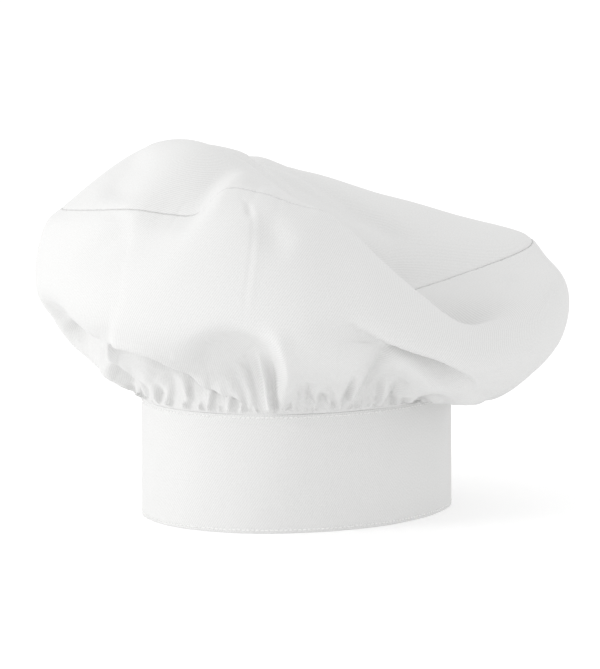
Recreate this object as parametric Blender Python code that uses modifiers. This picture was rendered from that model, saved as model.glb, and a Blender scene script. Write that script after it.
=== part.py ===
"""Chef toque: a floppy crown gathered onto a tall headband that closes with a hook-and-loop tab.

The hat stands on the lower rim of its band. +Z is up, the front of the hat faces -Y, and the
closure is at the back, +Y. The origin is on the floor, under the middle of the hat.
"""
import bisect
import math

import bpy

MM = 0.001
GAP = 0.3 * MM                      # clearance between neighbouring layers

# Headband: an oval that fits a 600 mm head
HEAD_LONG = 104.5 * MM              # half length, front to back, of the band's outer face
HEAD_WIDE = 86.0 * MM               # half width, side to side
BAND_HEIGHT = 71.0 * MM
BAND_CLOTH = 0.6 * MM
BAND_STIFFENER = 1.2 * MM
BAND_LINING = 0.5 * MM
LINING_RISE = 1.0 * MM              # the lining and the stiffener stop this far above the rim

# Back closure, by bearing round the hat: 0 is +X and 90 is the back
TAB_ROOT = 66.6
TAB_TIP = 113.5
BAND_START = 66.3                   # the outer cloth's fixed end, where the tab is sewn on
LINING_START = 63.2                 # the lining and the stiffener stop short of it
STEP_START = 63.9                   # here the crown steps inwards, from the band to its underlap
UNDERLAP_END = 66.6                 # the band's other end reaches this far under the tab
DIP_START = 127.5                   # from here the band bends inwards to pass under the tab
DIP_FULL = 116.25
DIP_DEPTH = 5.2 * MM
TAB_BOTTOM = 1.0 * MM
TAB_TOP = 69.5 * MM
TAB_STIFFENER = 0.5 * MM
FASTENER = 1.0 * MM                 # thickness of the hook strip, and of the loop strip
FASTENER_BOTTOM = 18.0 * MM
FASTENER_TOP = 52.0 * MM
HOOK_SPAN = (86.0, 109.0)
LOOP_SPAN = (74.0, 109.0)

# Blank label, sewn to the lining on the wearer's right
LABEL_SPAN = (172.0, 190.0)
LABEL_BOTTOM = 16.0 * MM
LABEL_TOP = 44.0 * MM
LABEL_CLOTH = 0.3 * MM

# Stitching
THREAD = 0.3 * MM                   # radius of a row of stitches
TOP_ROW = 69.2 * MM
BOTTOM_ROW = 2.0 * MM
STITCH_INSET = 2.5 * MM             # from the edge of a tab or strip to its stitches
STITCH_TURN = 1.4                   # the same distance as a change of bearing

# Crown: a gathered side wall and a round top panel, which flop to one side
COLUMNS = 96
CROWN_CLOTH = 1.2 * MM
LEAN = 40.0                         # bearing of the low side of the crown
SEAM_GAP = 1.3 * MM                 # between the two turned-in seam allowances, round the thread
ALLOWANCE = 5.0 * MM
TUCK_BOTTOM = 63.0 * MM             # the gathered edge reaches down to here inside the band
GATHERS = 24
GATHER_HEIGHT = 1.6 * MM
CROWN_SHIFT = (1.1 * MM, -1.3 * MM)  # puts the middle of the crown's box over the origin

# Rings of the crown: (bearing from the low side, radius, height), bearings in degrees, sizes in mm
SKIRT = [(0, 120, 70), (20, 120, 78), (45, 120, 80), (70, 120, 80), (100, 120, 78), (135, 121, 79),
         (180, 124, 82), (225, 119, 82), (270, 117, 82), (300, 120, 78), (330, 120, 70)]
BULGE = [(0, 161, 108), (45, 158, 112), (90, 157, 116), (135, 157, 124), (180, 157, 131),
         (225, 156, 128), (270, 152, 124), (300, 150, 112), (320, 155, 104), (340, 158, 104)]
SHOULDER = [(0, 160, 140), (25, 156, 148), (60, 150, 155), (90, 148, 160), (135, 150, 166),
            (180, 152, 173), (225, 149, 176), (255, 138, 184), (270, 127, 184), (284, 112, 184),
            (295, 116, 164), (305, 127, 143), (315, 139, 124), (326, 148, 122), (340, 155, 129)]
SEAM = [(0, 106, 144), (12, 143, 155), (45, 140, 161), (90, 138, 176), (135, 139, 181),
        (180, 142, 183), (210, 141, 190), (225, 139, 194), (235, 129, 193), (241, 124, 193),
        (249, 120, 207), (258, 116, 206), (270, 112, 199), (284, 101, 190), (296, 80, 160),
        (315, 66, 136), (344, 75, 137)]
DISC = [(0, 62, 155), (35, 95, 176), (60, 80, 186), (90, 76, 199), (135, 80, 210), (180, 86, 221),
        (210, 84, 226), (225, 80, 224), (240, 72, 216), (255, 64, 207), (270, 60, 196),
        (290, 50, 178), (315, 42, 152), (340, 46, 147)]
HUB = [(0, 28, 168), (90, 32, 192), (135, 36, 208), (180, 40, 216), (210, 42, 214), (225, 38, 208),
       (270, 28, 190), (315, 24, 168)]
CENTRE_HEIGHT = 186.0 * MM

WHITE_TWILL = (0.90, 0.90, 0.89)
WHITE_COTTON = (0.88, 0.88, 0.87)
WHITE_THREAD = (0.93, 0.93, 0.92)
WHITE_NYLON = (0.82, 0.82, 0.81)


# ---------------------------------------------------------------- geometry of the band

def oval_point(bearing, inset, height):
    """A point on the band's oval at a bearing, moved inwards from the outer face by inset."""
    angle = math.radians(bearing)
    x, y = math.cos(angle), math.sin(angle)
    radius = 1 / math.hypot(x / HEAD_WIDE, y / HEAD_LONG)
    x, y = radius * x, radius * y
    across, along = x / HEAD_WIDE ** 2, y / HEAD_LONG ** 2
    length = math.hypot(across, along)
    return (x - inset * across / length, y - inset * along / length, height)


def smooth_step(value):
    """0 below 0, 1 above 1, and a smooth rise between."""
    value = min(max(value, 0.0), 1.0)
    return value * value * (3 - 2 * value)


def columns_round():
    """Bearings of the crown's columns; two are moved to the crown's step at the closure."""
    bearings = [360 * i / COLUMNS for i in range(COLUMNS)]
    nearest = round(STEP_START * COLUMNS / 360)
    bearings[nearest:nearest + 2] = [STEP_START, BAND_START]
    return bearings


COLUMN_BEARINGS = columns_round()


def span(first, last):
    """The bearings from first to last, with the crown's columns between, so that layers match."""
    between = [b + turn for turn in (-360, 0, 360) for b in COLUMN_BEARINGS]
    return [first] + sorted(b for b in between if first + 0.4 < b < last - 0.4) + [last]


def dip(bearing):
    """How far the band has bent inwards at a bearing, which it does to become the underlap."""
    if not BAND_START <= bearing % 360 < DIP_START:
        return 0.0
    return DIP_DEPTH * smooth_step((DIP_START - bearing % 360) / (DIP_START - DIP_FULL))


def band_span(end, margin=0.0):
    """Bearings from the tip of the underlap, back round the front, to the band's fixed end."""
    return span(UNDERLAP_END + margin, end + 359.999 - margin)


# ---------------------------------------------------------------- geometry of the crown

def around(ring, bearing):
    """Radius and height of a ring at a bearing from the low side, on a smooth closed curve."""
    bearing %= 360
    laps = [(b + turn, r, h) for turn in (-360, 0, 360) for b, r, h in ring]
    after = bisect.bisect_right([p[0] for p in laps], bearing)
    before, start, end, beyond = laps[after - 2:after + 2]
    width = end[0] - start[0]
    t = (bearing - start[0]) / width
    found = []
    for axis in (1, 2):
        slopes = [(q[axis] - p[axis]) / (q[0] - p[0])
                  for p, q in ((before, start), (start, end), (end, beyond))]
        widths = [start[0] - before[0], width, beyond[0] - end[0]]
        tangents = [(slopes[i] * widths[i + 1] + slopes[i + 1] * widths[i]) / (widths[i] + widths[i + 1])
                    for i in (0, 1)]
        found.append((2 * t ** 3 - 3 * t ** 2 + 1) * start[axis] + (3 * t ** 2 - 2 * t ** 3) * end[axis]
                     + (t ** 3 - 2 * t ** 2 + t) * width * tangents[0]
                     + (t ** 3 - t ** 2) * width * tangents[1])
    return found[0] * MM, found[1] * MM


def ring_points(ring):
    """The ring's point on each column."""
    points = []
    for bearing in COLUMN_BEARINGS:
        radius, height = around(ring, bearing - LEAN)
        angle = math.radians(bearing)
        points.append((radius * math.cos(angle) + CROWN_SHIFT[0],
                       radius * math.sin(angle) + CROWN_SHIFT[1], height))
    return points


def oval_ring(inset, height):
    """A ring that follows the band, in front of the underlap where that has bent inwards."""
    return [oval_point(b, inset + dip(b), height) for b in COLUMN_BEARINGS]


def mix(a, b, t):
    return tuple(p + (q - p) * t for p, q in zip(a, b))


def between(rings, index, t):
    """A ring at t between rings[index] and the next, on smooth curves up the crown."""
    half = COLUMNS // 2
    rows = []
    for column in range(COLUMNS):
        start, end = rings[index][column], rings[index + 1][column]
        before = rings[index - 1][column] if index else mix(end, start, 2)
        if index + 2 < len(rings):
            beyond = rings[index + 2][column]
        else:
            beyond = rings[index][(column + half) % COLUMNS]
        points = (before, start, end, beyond)
        knots = [0.0]
        for p, q in zip(points, points[1:]):
            knots.append(knots[-1] + max(math.dist(p, q), MM) ** 0.5)
        at = knots[1] + (knots[2] - knots[1]) * t
        level = list(points)
        for order in (1, 2):
            level = [mix(level[i], level[i + 1], (at - knots[i]) / (knots[i + order] - knots[i]))
                     for i in range(len(level) - 1)]
        rows.append(mix(level[0], level[1], t))
    return rows


def difference(a, b):
    return tuple(p - q for p, q in zip(a, b))


def unit(v):
    length = math.hypot(*v)
    return tuple(p / length for p in v)


def cross(a, b):
    return (a[1] * b[2] - a[2] * b[1], a[2] * b[0] - a[0] * b[2], a[0] * b[1] - a[1] * b[0])


def along(point, direction, distance):
    return tuple(p + d * distance for p, d in zip(point, direction))


def frame_on(below, ring, above, column):
    """Outward normal, and the direction up and over the crown, at a column of a ring."""
    ahead = ring[(column + 2) % COLUMNS]
    behind = ring[(column - 2) % COLUMNS]
    over = unit(difference(above[column], below[column]))
    normal = unit(cross(difference(ahead, behind), over))
    return normal, over


def crown_rings():
    """The band's edge, the skirt, bulge, shoulder, seam, disc and hub, and the centre."""
    centre = [(CROWN_SHIFT[0], CROWN_SHIFT[1], CENTRE_HEIGHT)] * COLUMNS
    edge = [oval_point(b, dip(b) * 0.6 - 0.8 * MM, BAND_HEIGHT + 3.0 * MM) for b in COLUMN_BEARINGS]
    return [edge] + [ring_points(ring) for ring in (SKIRT, BULGE, SHOULDER, SEAM, DISC, HUB)] + [centre]


def gathered(row, size):
    """The row with the gathers' ripples pushed out and in by size."""
    rippled = []
    for column, (x, y, z) in enumerate(row):
        wave = size * math.cos(math.radians(COLUMN_BEARINGS[column] * GATHERS))
        distance = math.hypot(x, y)
        rippled.append((x + wave * 0.5 * x / distance, y + wave * 0.5 * y / distance, z + wave))
    return rippled


def seam_edges(rings):
    """The seam's two sides: for each, its folded corner and the end of its turned-in allowance."""
    seam = rings[4]
    below, above = between(rings, 3, 0.8), between(rings, 4, 0.2)
    sides = {-1: ([], []), 1: ([], [])}
    for column in range(COLUMNS):
        normal, over = frame_on(below, seam, above, column)
        for side, (corners, ends) in sides.items():
            corner = along(seam[column], over, side * SEAM_GAP / 2)
            corners.append(corner)
            ends.append(along(corner, normal, -ALLOWANCE))
    return sides[-1], sides[1]


# ---------------------------------------------------------------- building helpers

def new_object(name, data, colour, roughness, parent=None):
    material = bpy.data.materials.new(name)
    material.use_nodes = True
    shader = material.node_tree.nodes["Principled BSDF"]
    shader.inputs["Base Color"].default_value = (*colour, 1)
    shader.inputs["Roughness"].default_value = roughness
    shader.inputs["Metallic"].default_value = 0.0
    data.materials.append(material)
    thing = bpy.data.objects.new(name, data)
    COLLECTION.objects.link(thing)
    if parent:
        thing.parent = parent
        thing.matrix_parent_inverse = parent.matrix_world.inverted()
    return thing


def cloth(name, rows, thickness, colour, closed=False, centre=None, parent=None):
    """A fabric shell: the rows are its outer face, and Solidify gives it thickness inwards."""
    width = len(rows[0])
    vertices = [point for row in rows for point in row]
    across = width if closed else width - 1
    faces = []
    for row in range(len(rows) - 1):
        for column in range(across):
            right = (column + 1) % width
            low, high = row * width, (row + 1) * width
            faces.append((low + column, low + right, high + right, high + column))
    if centre:
        last = (len(rows) - 1) * width
        faces += [(last + column, last + (column + 1) % width, len(vertices)) for column in range(width)]
        vertices.append(centre)
    mesh = bpy.data.meshes.new(name)
    mesh.from_pydata(vertices, [], faces)
    mesh.shade_smooth()
    thing = new_object(name, mesh, colour, 0.9, parent)
    solidify = thing.modifiers.new("cloth", "SOLIDIFY")
    solidify.thickness = thickness
    solidify.offset = -1
    return thing


def strip(name, bearings, bottom, top, inset, thickness, colour, dips=True, parent=None):
    """A curved strip of cloth that stands on edge and follows the band."""
    rows = [[oval_point(b, inset + (dip(b) if dips else 0), height) for b in bearings]
            for height in (bottom, top)]
    return cloth(name, rows, thickness, colour, parent=parent)


def stitches(name, points, closed=False, parent=None):
    """A row of stitches, as one thin tube."""
    curve = bpy.data.curves.new(name, "CURVE")
    curve.dimensions = "3D"
    curve.bevel_depth = THREAD
    curve.bevel_resolution = 0
    curve.use_fill_caps = True
    spline = curve.splines.new("POLY")
    spline.points.add(len(points) - 1)
    for target, point in zip(spline.points, points):
        target.co = (*point, 1)
    spline.use_cyclic_u = closed
    return new_object(name, curve, WHITE_THREAD, 0.8, parent)


def stitched_box(name, ends, turn, bottom, top, dips=True, parent=None):
    """Stitches that run round a curved rectangle on the band's face, turn degrees outside its ends."""
    bearings = span(ends[0] - turn, ends[1] + turn)
    out = -GAP - THREAD
    path = [oval_point(b, out + (dip(b) if dips else 0), bottom) for b in bearings]
    path += [oval_point(b, out + (dip(b) if dips else 0), top) for b in reversed(bearings)]
    return stitches(name, path, closed=True, parent=parent)


# ---------------------------------------------------------------- parts

def make_band():
    """Outer cloth, stiffener and lining of the band, with its two rows of stitches."""
    strip("band_outer", band_span(BAND_START), 0, BAND_HEIGHT, 0, BAND_CLOTH, WHITE_TWILL)
    bearings = band_span(LINING_START)
    inset = BAND_CLOTH + GAP
    strip("band_interfacing", bearings, LINING_RISE, TUCK_BOTTOM - 1.0 * MM, inset, BAND_STIFFENER,
          WHITE_COTTON)
    inset += BAND_STIFFENER + GAP
    strip("band_lining", bearings, LINING_RISE, BAND_HEIGHT - LINING_RISE, inset, BAND_LINING,
          WHITE_COTTON)
    for name, height in (("band_top_stitching", TOP_ROW), ("band_bottom_stitching", BOTTOM_ROW)):
        stitches(name, [oval_point(b, dip(b) - GAP - THREAD, height) for b in band_span(BAND_START, STITCH_TURN)])
    inset += BAND_LINING + GAP
    strip("care_label", span(*LABEL_SPAN), LABEL_BOTTOM, LABEL_TOP, inset, LABEL_CLOTH, WHITE_COTTON)


def make_loop_strip():
    """The loop half of the fastener, on the outer face of the underlap."""
    strip("loop_strip", span(*LOOP_SPAN), FASTENER_BOTTOM, FASTENER_TOP, -GAP - FASTENER, FASTENER,
          WHITE_NYLON)
    stitched_box("loop_stitching", LOOP_SPAN, STITCH_TURN, FASTENER_BOTTOM - STITCH_INSET,
                 FASTENER_TOP + STITCH_INSET)


def make_tab():
    """The closing tab, which peels outwards about the line where it is sewn to the band."""
    hinge = bpy.data.objects.new("closure_tab_peel", None)
    hinge.location = oval_point((TAB_ROOT + BAND_START) / 2, 0, 0)
    COLLECTION.objects.link(hinge)
    bpy.context.view_layer.update()
    bearings = span(TAB_ROOT, TAB_TIP)
    strip("tab_outer", bearings, TAB_BOTTOM, TAB_TOP, 0, BAND_CLOTH, WHITE_TWILL, False, hinge)
    inset = BAND_CLOTH + GAP
    strip("tab_interfacing", bearings, TAB_BOTTOM + LINING_RISE, TAB_TOP - LINING_RISE, inset,
          TAB_STIFFENER, WHITE_COTTON, False, hinge)
    inset += TAB_STIFFENER + GAP
    strip("tab_lining", bearings, TAB_BOTTOM, TAB_TOP, inset, BAND_LINING, WHITE_COTTON, False, hinge)
    inset += BAND_LINING + GAP
    strip("hook_strip", span(*HOOK_SPAN), FASTENER_BOTTOM, FASTENER_TOP, inset, FASTENER,
          WHITE_NYLON, False, hinge)
    stitched_box("tab_edge_stitching", (TAB_ROOT, TAB_TIP), -STITCH_TURN, TAB_BOTTOM + STITCH_INSET,
                 TAB_TOP - STITCH_INSET, False, hinge)
    stitched_box("hook_stitching", HOOK_SPAN, STITCH_TURN, FASTENER_BOTTOM - STITCH_INSET,
                 FASTENER_TOP + STITCH_INSET, False, hinge)


def make_crown():
    """The side wall, gathered into the band, the top panel, and the seam that joins them."""
    rings = crown_rings()
    (wall_corner, wall_end), (top_corner, top_end) = seam_edges(rings)
    tuck = BAND_CLOTH + GAP
    rows = [oval_ring(tuck, TUCK_BOTTOM), oval_ring(tuck, BAND_HEIGHT + 0.5 * MM), rings[0]]
    rows.append(gathered(between(rings, 0, 0.5), GATHER_HEIGHT))
    rows.append(gathered(rings[1], GATHER_HEIGHT * 0.7))
    rows += [between(rings, 1, t) for t in (0.35, 0.7)]
    rows += [rings[2]] + [between(rings, 2, t) for t in (0.35, 0.7)]
    rows += [rings[3]] + [between(rings, 3, t) for t in (0.4, 0.75)]
    rows += [wall_corner, wall_end]
    cloth("crown_side", rows, CROWN_CLOTH, WHITE_TWILL, closed=True)

    rows = [top_end, top_corner]
    rows += [between(rings, 4, t) for t in (0.2, 0.6)]
    rows += [rings[5], between(rings, 5, 0.5), rings[6]]
    cloth("crown_top", rows, CROWN_CLOTH, WHITE_TWILL, closed=True, centre=rings[7][0])

    seam = [mix(mix(a, b, 0.5), mix(c, d, 0.5), 0.5)
            for a, b, c, d in zip(wall_corner, top_corner, wall_end, top_end)]
    stitches("crown_seam_stitching", seam, closed=True)


for thing in list(bpy.data.objects):
    bpy.data.objects.remove(thing)
COLLECTION = bpy.data.collections.new("chef_toque")
bpy.context.scene.collection.children.link(COLLECTION)
make_band()
make_loop_strip()
make_tab()
make_crown()
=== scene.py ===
"""Looks of the chef toque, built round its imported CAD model: cloth, folds, stitches, tapes and light.

Everything is in the row frame, in metres: +Z up, the front of the hat at -Y, the closure at +Y.
"""
import math

import bpy
import numpy as np
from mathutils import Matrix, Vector


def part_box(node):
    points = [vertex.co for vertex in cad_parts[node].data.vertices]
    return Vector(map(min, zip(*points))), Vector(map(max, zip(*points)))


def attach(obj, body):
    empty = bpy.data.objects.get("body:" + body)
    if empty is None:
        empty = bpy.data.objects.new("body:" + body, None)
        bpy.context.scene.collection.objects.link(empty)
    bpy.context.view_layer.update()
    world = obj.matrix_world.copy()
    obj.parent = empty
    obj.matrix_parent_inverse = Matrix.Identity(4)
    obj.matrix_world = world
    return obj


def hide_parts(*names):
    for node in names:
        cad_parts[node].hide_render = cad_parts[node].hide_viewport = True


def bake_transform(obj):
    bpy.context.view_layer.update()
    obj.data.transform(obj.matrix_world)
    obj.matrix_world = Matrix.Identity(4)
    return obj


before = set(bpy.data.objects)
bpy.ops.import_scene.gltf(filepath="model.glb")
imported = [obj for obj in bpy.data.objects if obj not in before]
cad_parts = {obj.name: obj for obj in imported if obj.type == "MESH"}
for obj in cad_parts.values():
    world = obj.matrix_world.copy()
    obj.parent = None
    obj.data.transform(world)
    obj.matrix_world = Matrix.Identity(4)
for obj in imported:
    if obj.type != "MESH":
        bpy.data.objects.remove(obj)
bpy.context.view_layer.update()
MM = 0.001
UP = np.array([0.0, 0.0, 1.0])

# ---- sizes shared with the CAD model

BAND_LOW, BAND_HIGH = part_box("band_outer")
HEAD_LONG = -BAND_LOW.y
HEAD_WIDE = BAND_HIGH.x
BAND_HEIGHT = BAND_HIGH.z
BAND_CLOTH = 0.6 * MM
GAP = 0.3 * MM
STIFFENER = 1.2 * MM
LINING_INSET = BAND_CLOTH + STIFFENER + 2 * GAP
LINING_CLOTH = 0.5 * MM
TUCK_BOTTOM = 64 * MM

TAB_ROOT = 66.6
TAB_TIP = 113.5
BAND_START = 66.3
TAB_EDGE = 66.45  # the tab's cloth comes this close to the band's end
LINING_START = 63.2
UNDERLAP_END = 66.6
DIP_START = 127.5
DIP_FULL = 116.25
DIP_DEPTH = 5.2 * MM

LEAN = 40.0  # bearing of the crown's low side
FACE = LEAN - 90  # bearing that the big front folds face
CROWN_SHIFT = np.array([1.1, -1.3, 0]) * MM

# Rings of the crown: (bearing from the low side, radius, height), in degrees and mm
SKIRT = [(0, 120, 72), (20, 120, 78), (45, 119, 81), (70, 118, 82), (100, 118, 81), (135, 119, 82),
         (180, 121, 83), (225, 113, 86), (270, 110, 88), (300, 113, 84), (330, 119, 73)]
BULGE = [(0, 161, 108), (45, 158, 112), (90, 157, 116), (135, 157, 124), (180, 157, 131),
         (225, 156, 128), (270, 152, 124), (300, 150, 112), (320, 155, 104), (340, 158, 104)]
SHOULDER = [(0, 160, 140), (25, 156, 148), (60, 150, 155), (90, 148, 160), (135, 150, 166),
            (180, 152, 173), (225, 149, 176), (255, 138, 184), (270, 127, 184), (284, 112, 184),
            (295, 116, 164), (305, 127, 143), (315, 139, 124), (326, 148, 122), (340, 155, 129)]
SEAM = [(0, 108, 146), (12, 143, 155), (45, 140, 161), (90, 138, 176), (135, 139, 181),
        (180, 142, 183), (210, 141, 190), (225, 139, 194), (235, 129, 193), (241, 124, 193),
        (249, 116, 206), (258, 112, 205), (270, 109, 198), (284, 101, 190), (296, 80, 160),
        (315, 66, 136), (344, 75, 137)]
DISC = [(0, 62, 155), (35, 95, 176), (60, 80, 186), (90, 76, 199), (135, 80, 210), (180, 86, 221),
        (210, 84, 226), (225, 80, 224), (240, 72, 216), (255, 64, 207), (270, 60, 196),
        (290, 50, 178), (315, 42, 152), (340, 46, 147)]
HUB = [(0, 28, 168), (90, 32, 192), (135, 36, 208), (180, 40, 216), (210, 42, 214), (225, 38, 208),
       (270, 28, 190), (315, 24, 168)]
CENTRE_HEIGHT = 186 * MM

# ---- small vector helpers


def unit(v):
    """Vectors of length 1."""
    return v / np.maximum(np.linalg.norm(v, axis=-1, keepdims=True), 1e-12)


def step(value):
    """0 below 0, 1 above 1, and a smooth rise between."""
    value = np.clip(value, 0, 1)
    return value * value * (3 - 2 * value)


def bearing_vector(degrees):
    """The level direction at a bearing."""
    angle = np.radians(degrees)
    return np.array([math.cos(angle), math.sin(angle), 0.0])


def way_along(path):
    """How far along a path each of its points is."""
    return np.concatenate([[0], np.cumsum(np.linalg.norm(np.diff(path, axis=0), axis=-1))])


def way_up(grid):
    """How far up a grid, along its column, each of its points is."""
    steps = np.linalg.norm(np.diff(grid, axis=0), axis=-1)
    return np.concatenate([np.zeros((1, grid.shape[1])), np.cumsum(steps, axis=0)])


def oval(bearings, inset, height):
    """Points on the band's oval, moved inwards from its outer face by inset."""
    angle = np.radians(bearings)
    x, y = np.cos(angle), np.sin(angle)
    radius = 1 / np.hypot(x / HEAD_WIDE, y / HEAD_LONG)
    x, y = radius * x, radius * y
    normal = unit(np.stack([x / HEAD_WIDE ** 2, y / HEAD_LONG ** 2], -1))
    flat = np.stack([x, y], -1) - np.asarray(inset)[..., None] * normal
    heights = np.broadcast_to(np.asarray(height, float)[..., None], x.shape + (1,))
    return np.concatenate([flat, heights], -1)


def dip(bearings):
    """How far the band has bent inwards, which it does to pass under the tab."""
    b = np.asarray(bearings) % 360
    depth = DIP_DEPTH * step((DIP_START - b) / (DIP_START - DIP_FULL))
    return np.where((b >= BAND_START) & (b < DIP_START), depth, 0.0)


# ---- the crown's plain shape

COLUMNS = 640
CROWDING = 0.4  # columns stand closer together on the face, where the folds are


def crown_bearings():
    """The bearing of each column of the crown."""
    u = np.linspace(-math.pi, math.pi, COLUMNS, endpoint=False)
    return FACE + np.degrees(u - CROWDING * np.sin(u))


BEARINGS = crown_bearings()


def ring_points(ring):
    """A ring's point on each column, on a smooth closed curve through the ring's own points."""
    table = np.array(ring, float)
    turns = np.concatenate([table + [turn, 0, 0] for turn in (-360, 0, 360)])
    places, values = turns[:, 0], turns[:, 1:]
    widths = np.diff(places)
    slopes = np.diff(values, axis=0) / widths[:, None]
    tangents = np.zeros_like(values)
    tangents[1:-1] = (slopes[:-1] * widths[1:, None] + slopes[1:] * widths[:-1, None]) \
        / (widths[:-1] + widths[1:])[:, None]
    wanted = (BEARINGS - LEAN) % 360
    i = np.searchsorted(places, wanted, side="right") - 1
    t = ((wanted - places[i]) / widths[i])[:, None]
    w = widths[i][:, None]
    found = (2 * t ** 3 - 3 * t ** 2 + 1) * values[i] + (3 * t ** 2 - 2 * t ** 3) * values[i + 1] \
        + (t ** 3 - 2 * t ** 2 + t) * w * tangents[i] + (t ** 3 - t ** 2) * w * tangents[i + 1]
    radius, height = found[:, 0] * MM, found[:, 1] * MM
    angle = np.radians(BEARINGS)
    return np.stack([radius * np.cos(angle), radius * np.sin(angle), height], -1) + CROWN_SHIFT


def between(rings, index, t):
    """A ring at t between rings[index] and the next, on smooth curves up the crown."""
    start, end = rings[index], rings[index + 1]
    before = rings[index - 1] if index else 2 * start - end
    beyond = rings[index + 2] if index + 2 < len(rings) else rings[index][opposite()]
    points = [before, start, end, beyond]
    knots = [np.zeros(COLUMNS)]
    for p, q in zip(points, points[1:]):
        knots.append(knots[-1] + np.sqrt(np.maximum(np.linalg.norm(q - p, axis=-1), MM)))
    at = knots[1] + (knots[2] - knots[1]) * t
    level = points
    for order in (1, 2):
        shares = [(at - knots[i]) / (knots[i + order] - knots[i]) for i in range(len(level) - 1)]
        level = [level[i] + (level[i + 1] - level[i]) * share[:, None] for i, share in enumerate(shares)]
    return level[0] + (level[1] - level[0]) * t


def opposite():
    """For each column, the column on the other side of the crown."""
    turned = (BEARINGS + 180 - BEARINGS[0]) % 360
    return np.searchsorted(BEARINGS - BEARINGS[0], turned) % COLUMNS


WALL_ROWS = (26, 44, 28, 30)  # rows between edge, skirt, bulge, shoulder and seam
TOP_ROWS = (30, 18, 12)  # rows between seam, disc, hub and centre
BULGE_ROW = sum(WALL_ROWS[:2])
EDGE_DIP = 0.8  # the crown's edge follows this share of the band's dip,
EDGE_PROUD = 0.1 * MM  # stands this far outside the band
EDGE_RISE = 1.0 * MM  # and this far above it
SHOULDER_ROW = sum(WALL_ROWS[:3])


def crown_rows():
    """All rows of the crown as one grid from the band's edge to the centre, and the seam's row."""
    centre = np.broadcast_to(CROWN_SHIFT + CENTRE_HEIGHT * UP, (COLUMNS, 3))
    edge = oval(BEARINGS, dip(BEARINGS) * EDGE_DIP - EDGE_PROUD, BAND_HEIGHT + EDGE_RISE)
    rings = [edge] + [ring_points(ring) for ring in (SKIRT, BULGE, SHOULDER, SEAM, DISC, HUB)] + [centre]
    rows = []
    for index, count in enumerate(WALL_ROWS + TOP_ROWS):
        rows += [between(rings, index, i / count) for i in range(count)]
    rows.append(rings[-1])
    return np.array(rows), sum(WALL_ROWS)


def normals_of(grid):
    """Outward normals of a grid that is closed round its columns."""
    ahead = np.roll(grid, -1, axis=1) - np.roll(grid, 1, axis=1)
    over = np.gradient(grid, axis=0)
    return unit(np.cross(ahead, over))


# ---- folds

# Folds are placed on the face of the crown as it is seen square on from FACE, a little from above:
# (across, up) in mm from the middle of the band's rim.
TILT = math.radians(7.9)
ACROSS = bearing_vector(FACE + 90)
TOWARDS = bearing_vector(FACE)


def face_place(grid):
    """Across and up on the face, and how far a point stands forward, all in mm."""
    forward = grid @ TOWARDS
    up = grid[..., 2] * math.cos(TILT) - forward * math.sin(TILT)
    return grid @ ACROSS / MM, up / MM, forward / MM


def smooth_line(points, per_span=5):
    """A smooth curve through a few points."""
    p = np.array(points, float)
    p = np.concatenate([[2 * p[0] - p[1]], p, [2 * p[-1] - p[-2]]])
    out = []
    for i in range(1, len(p) - 2):
        for t in np.linspace(0, 1, per_span, endpoint=False):
            a, b, c, d = p[i - 1:i + 3]
            out.append(0.5 * (2 * b + (c - a) * t + (2 * a - 5 * b + 4 * c - d) * t ** 2
                              + (3 * b - a - 3 * c + d) * t ** 3))
    out.append(p[-2])
    return np.array(out)


def line_field(across, up, points):
    """Signed distance from a line on the face, positive on its left, the share of the way along it, and
    the direction to its left. Where two stretches are about as near, their distances are blended."""
    line = smooth_line(points)
    steps = np.diff(line, axis=0)
    lengths = np.linalg.norm(steps, axis=1)
    starts = way_along(line)
    x, y = across[..., None] - line[:-1, 0], up[..., None] - line[:-1, 1]
    t = np.clip((x * steps[:, 0] + y * steps[:, 1]) / lengths ** 2, 0, 1)
    off_x, off_y = x - t * steps[:, 0], y - t * steps[:, 1]
    far = np.hypot(off_x, off_y)
    nearest = far.min(-1, keepdims=True)
    weight = np.exp(-(far - nearest) / (0.3 + 0.12 * nearest))
    weight /= weight.sum(-1, keepdims=True)
    side = np.sign(steps[:, 0] * off_y - steps[:, 1] * off_x)
    signed = (weight * side * far).sum(-1)
    closest = far.argmin(-1)[..., None]
    share = np.take_along_axis(starts[:-1] + t * lengths, closest, -1)[..., 0] / starts[-1]
    left_x = (weight * -steps[:, 1] / lengths).sum(-1)
    left_y = (weight * steps[:, 0] / lengths).sum(-1)
    return signed, share, np.stack([left_x, left_y], -1)


VALLEY = 1.35  # below 2, a valley's bottom is sharp and its shoulders are round
CREST = 0.33  # height of the low crest on each side of a pleat


def pleat_profile(q):
    """A sharp valley with a low crest on each side, of height -1 at its bottom."""
    return CREST * np.exp(-((np.abs(q) - 2.0) / 0.9) ** 2) - np.exp(-np.abs(q) ** VALLEY)


def fade(share, start, end):
    """1 along a fold, falling to 0 over the given shares at its two ends."""
    first = step(share / start) if start else 1.0
    last = step((1 - share) / end) if end else 1.0
    return first * last


def ripple(place, points, height, left, right, ends):
    """A ridge, or with a negative height a groove, along a line, as wide as left and right of it.
    One with no fade at its start, which is at the band, starts small and opens out on its way up."""
    across, up, _ = place
    signed, share, _ = line_field(across, up, points)
    widths = np.where(signed > 0, left, right)
    power = 2.0
    if not ends[0]:
        widths = widths * (0.5 + 0.9 * share)
        height = height * (0.4 + 0.6 * step(share / 0.35))
        power = VALLEY if np.max(height) < 0 else 2.0
    return height * np.exp(-np.abs(signed / widths) ** power) * fade(share, *ends)


FULL_CURL = 1.65  # brings the curl's profile up to 1 at its fullest


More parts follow.
